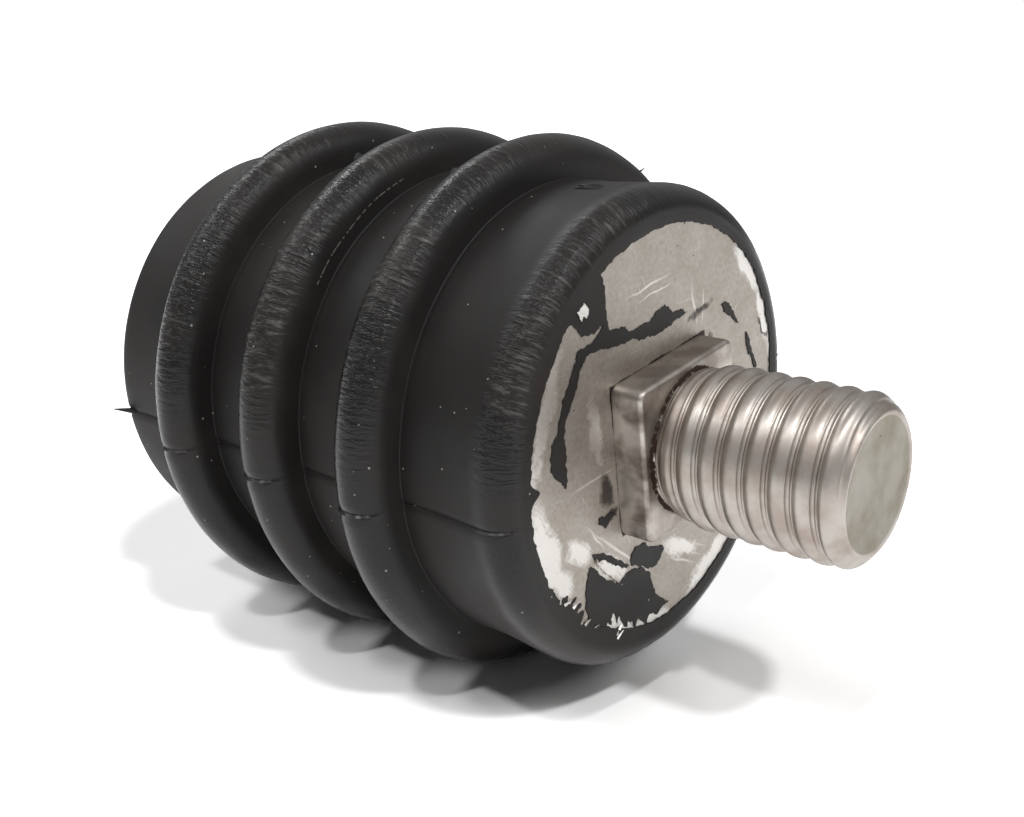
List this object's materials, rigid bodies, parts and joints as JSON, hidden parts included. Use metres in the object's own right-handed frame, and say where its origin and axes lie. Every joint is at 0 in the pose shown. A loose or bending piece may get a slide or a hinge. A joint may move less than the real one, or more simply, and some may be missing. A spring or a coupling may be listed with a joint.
{
  "type": "outboard motor mount",
  "caption": "Ribbed black rubber mount on a metal core, with a square-shouldered stainless stud, for holding an outboard motor in its bracket.",
  "frame": {"origin": "centre of the closed rubber rear face", "axes": "+Z along the stud towards its tip, X and Y square to the flats of the stud's shoulder"},
  "size_m": [0.042, 0.042, 0.0605],
  "materials": {
    "rubber": "moulded, slightly greasy sheen",
    "core_metal": "cast, scraped bare of rubber flash",
    "stud_steel": "rolled and tumbled stainless"
  },
  "bodies": {
    "root": {"rubber_body": "rubber", "metal_core": "core_metal", "threaded_stud": "stud_steel"}
  },
  "joints": []
}
